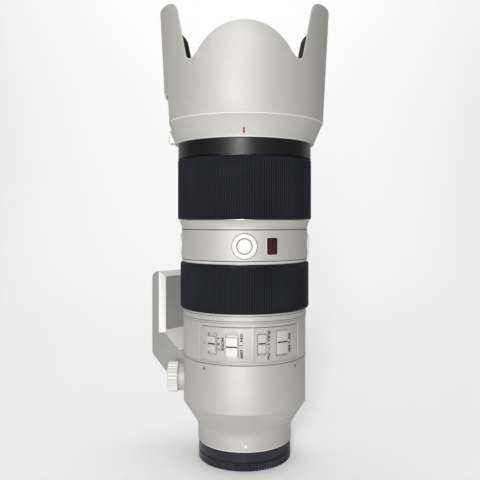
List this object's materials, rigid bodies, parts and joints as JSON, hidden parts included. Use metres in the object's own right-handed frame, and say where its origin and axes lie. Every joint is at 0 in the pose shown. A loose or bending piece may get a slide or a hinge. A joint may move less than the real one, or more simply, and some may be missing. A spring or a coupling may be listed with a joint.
{
  "type": "camera zoom lens",
  "caption": "Telephoto zoom lens for an interchangeable-lens camera, with petal hood, rotating tripod collar and foot, and a fitted rear cap.",
  "frame": {"origin": "centre of the mounting face that seats on the camera, on the optical axis", "axes": "+Z along the optical axis to the front, -Y towards the side with the switches, +X to the right seen from there"},
  "size_m": [0.1213, 0.1111, 0.29],
  "materials": {
    "white_paint": "satin off-white paint",
    "hood_plastic": "satin off-white moulding",
    "white_plastic": "satin off-white button plastic",
    "grip_rubber": "fine ribbed black rubber",
    "black_metal": "satin black",
    "black_plastic": "matte black",
    "steel": "fine turned",
    "aluminium": "anodised",
    "gold": "gold plated",
    "board": "solder mask",
    "optical_glass": "coated glass",
    "badge_red": "dark red enamel",
    "cap_plastic": "matte dark navy",
    "magnet": "nickel",
    "seal_rubber": "soft rubber"
  },
  "bodies": {
    "barrel": {"mount_flange": "steel", "mount_screws": "steel", "mount_seal": "seal_rubber", "rear_barrel": "white_paint", "baffle_plate": "black_plastic", "contact_block": "black_plastic", "contact_pins": "gold", "main_board": "board", "chassis_tube": "aluminium", "collar_seat": "aluminium", "switch_barrel": "white_paint", "switch_panel": "white_paint", "mid_barrel": "white_paint", "badge_plate": "badge_red", "front_ring": "black_metal", "front_cell": "black_metal", "front_glass": "optical_glass", "front_retainer": "black_metal", "guide_rods": "steel", "rear_cell": "black_metal", "rear_glass": "optical_glass", "iris_base": "black_metal", "focus_motor": "magnet"},
    "focus_ring": {"focus_sleeve": "aluminium", "focus_rubber": "grip_rubber"},
    "zoom_ring": {"zoom_sleeve": "white_paint", "zoom_rubber": "grip_rubber", "cam_tube": "aluminium"},
    "variator": {"variator_cell": "black_metal", "variator_glass": "optical_glass"},
    "focus_group": {"focus_cell": "black_metal", "focus_glass": "optical_glass"},
    "shift_frame": {"shift_frame": "black_metal"},
    "shift_cell": {"shift_cell": "black_metal", "shift_glass": "optical_glass"},
    "iris_ring": {"iris_ring": "black_metal"},
    "collar": {"tripod_collar": "white_paint", "tripod_foot": "white_paint", "foot_screws": "steel"},
    "collar_knob": {"collar_knob": "white_plastic"},
    "hood": {"hood": "hood_plastic"},
    "hood_door": {"hood_door": "hood_plastic"},
    "hood_release": {"hood_release": "white_plastic"},
    "rear_cap": {"rear_cap": "cap_plastic"},
    "iris_blade_1": {"iris_blade_1": "black_metal"},
    "iris_blade_2": {"iris_blade_2": "black_metal"},
    "iris_blade_3": {"iris_blade_3": "black_metal"},
    "iris_blade_4": {"iris_blade_4": "black_metal"},
    "iris_blade_5": {"iris_blade_5": "black_metal"},
    "iris_blade_6": {"iris_blade_6": "black_metal"},
    "iris_blade_7": {"iris_blade_7": "black_metal"},
    "iris_blade_8": {"iris_blade_8": "black_metal"},
    "iris_blade_9": {"iris_blade_9": "black_metal"},
    "hold_button_1": {"hold_button_1": "white_plastic"},
    "hold_button_2": {"hold_button_2": "white_plastic"},
    "hold_button_3": {"hold_button_3": "white_plastic"},
    "mode_switch": {"mode_switch": "white_plastic"},
    "steady_switch": {"steady_switch": "white_plastic"},
    "range_switch": {"range_switch": "white_plastic"},
    "focus_switch": {"focus_switch": "white_plastic"}
  },
  "joints": [
    {"name": "focus_ring_turn", "type": "hinge", "parent": "barrel", "child": "focus_ring", "pos_m": [0, 0, 0.163], "axis": [0, 0, 1], "continuous": true},
    {"name": "zoom_ring_turn", "type": "hinge", "parent": "barrel", "child": "zoom_ring", "pos_m": [0, 0, 0], "axis": [0, 0, 1], "range_deg": [0, 75]},
    {"name": "variator_slide", "type": "slide", "parent": "barrel", "child": "variator", "axis": [0, 0, 1], "range_m": [0, 0.022]},
    {"name": "focus_group_slide", "type": "slide", "parent": "barrel", "child": "focus_group", "axis": [0, 0, 1], "range_m": [0, 0.0085]},
    {"name": "stabiliser_x", "type": "slide", "parent": "barrel", "child": "shift_frame", "axis": [1, 0, 0], "range_m": [-0.0008, 0.0008]},
    {"name": "stabiliser_y", "type": "slide", "parent": "shift_frame", "child": "shift_cell", "axis": [0, 1, 0], "range_m": [-0.0008, 0.0008]},
    {"name": "iris_ring_turn", "type": "hinge", "parent": "barrel", "child": "iris_ring", "pos_m": [0, 0, 0], "axis": [0, 0, 1], "range_deg": [0, 4.48]},
    {"name": "collar_turn", "type": "hinge", "parent": "barrel", "child": "collar", "pos_m": [0, 0, 0.0408], "axis": [0, 0, 1], "continuous": true},
    {"name": "collar_knob_turn", "type": "hinge", "parent": "collar", "child": "collar_knob", "pos_m": [-0.047, 0, 0.0396], "axis": [-1, 0, 0], "range_deg": [0, 270]},
    {"name": "hood_turn", "type": "hinge", "parent": "barrel", "child": "hood", "pos_m": [0, 0, 0.1926], "axis": [0, 0, 1], "range_deg": [0, 60]},
    {"name": "hood_door_slide", "type": "hinge", "parent": "hood", "child": "hood_door", "pos_m": [0, 0, 0.2125], "axis": [0, 0, 1], "range_deg": [0, 38]},
    {"name": "hood_release_press", "type": "slide", "parent": "hood", "child": "hood_release", "axis": [1, 0, 0], "range_m": [0, 0.0008], "stiffness_N_per_m": 500, "springref_m": -0.0008},
    {"name": "rear_cap_turn", "type": "hinge", "parent": "barrel", "child": "rear_cap", "pos_m": [0, 0, 0], "axis": [0, 0, 1], "range_deg": [0, 60]},
    {"name": "iris_blade_1_swing", "type": "hinge", "parent": "barrel", "child": "iris_blade_1", "pos_m": [0, -0.0256, 0.0585], "axis": [0, 0, 1], "range_deg": [0, 30]},
    {"name": "iris_blade_2_swing", "type": "hinge", "parent": "barrel", "child": "iris_blade_2", "pos_m": [0.01646, -0.01961, 0.0585], "axis": [0, 0, 1], "range_deg": [0, 30]},
    {"name": "iris_blade_3_swing", "type": "hinge", "parent": "barrel", "child": "iris_blade_3", "pos_m": [0.02521, -0.00445, 0.0585], "axis": [0, 0, 1], "range_deg": [0, 30]},
    {"name": "iris_blade_4_swing", "type": "hinge", "parent": "barrel", "child": "iris_blade_4", "pos_m": [0.02217, 0.0128, 0.0585], "axis": [0, 0, 1], "range_deg": [0, 30]},
    {"name": "iris_blade_5_swing", "type": "hinge", "parent": "barrel", "child": "iris_blade_5", "pos_m": [0.00876, 0.02406, 0.0585], "axis": [0, 0, 1], "range_deg": [0, 30]},
    {"name": "iris_blade_6_swing", "type": "hinge", "parent": "barrel", "child": "iris_blade_6", "pos_m": [-0.00876, 0.02406, 0.0585], "axis": [0, 0, 1], "range_deg": [0, 30]},
    {"name": "iris_blade_7_swing", "type": "hinge", "parent": "barrel", "child": "iris_blade_7", "pos_m": [-0.02217, 0.0128, 0.0585], "axis": [0, 0, 1], "range_deg": [0, 30]},
    {"name": "iris_blade_8_swing", "type": "hinge", "parent": "barrel", "child": "iris_blade_8", "pos_m": [-0.02521, -0.00445, 0.0585], "axis": [0, 0, 1], "range_deg": [0, 30]},
    {"name": "iris_blade_9_swing", "type": "hinge", "parent": "barrel", "child": "iris_blade_9", "pos_m": [-0.01646, -0.01961, 0.0585], "axis": [0, 0, 1], "range_deg": [0, 30]},
    {"name": "hold_button_1_press", "type": "slide", "parent": "barrel", "child": "hold_button_1", "axis": [0, 1, 0], "range_m": [0, 0.0005], "stiffness_N_per_m": 600, "springref_m": -0.0005},
    {"name": "hold_button_2_press", "type": "slide", "parent": "barrel", "child": "hold_button_2", "axis": [-1, 0, 0], "range_m": [0, 0.0005], "stiffness_N_per_m": 600, "springref_m": -0.0005},
    {"name": "hold_button_3_press", "type": "slide", "parent": "barrel", "child": "hold_button_3", "axis": [1, 0, 0], "range_m": [0, 0.0005], "stiffness_N_per_m": 600, "springref_m": -0.0005},
    {"name": "mode_switch_slide", "type": "slide", "parent": "barrel", "child": "mode_switch", "axis": [0, 0, 1], "range_m": [-0.0018, 0.0018]},
    {"name": "steady_switch_slide", "type": "slide", "parent": "barrel", "child": "steady_switch", "axis": [0, 0, 1], "range_m": [0, 0.0014]},
    {"name": "range_switch_slide", "type": "slide", "parent": "barrel", "child": "range_switch", "axis": [0, 0, 1], "range_m": [-0.0014, 0]},
    {"name": "focus_switch_slide", "type": "slide", "parent": "barrel", "child": "focus_switch", "axis": [0, 0, 1], "range_m": [-0.0014, 0]}
  ],
  "couplings": [
    {"joint": "variator_slide", "follows": "zoom_ring_turn", "m_per_rad": 0.016806},
    {"joint": "iris_blade_1_swing", "follows": "iris_ring_turn", "ratio": 6.686},
    {"joint": "iris_blade_2_swing", "follows": "iris_ring_turn", "ratio": 6.686},
    {"joint": "iris_blade_3_swing", "follows": "iris_ring_turn", "ratio": 6.686},
    {"joint": "iris_blade_4_swing", "follows": "iris_ring_turn", "ratio": 6.686},
    {"joint": "iris_blade_5_swing", "follows": "iris_ring_turn", "ratio": 6.686},
    {"joint": "iris_blade_6_swing", "follows": "iris_ring_turn", "ratio": 6.686},
    {"joint": "iris_blade_7_swing", "follows": "iris_ring_turn", "ratio": 6.686},
    {"joint": "iris_blade_8_swing", "follows": "iris_ring_turn", "ratio": 6.686},
    {"joint": "iris_blade_9_swing", "follows": "iris_ring_turn", "ratio": 6.686}
  ]
}
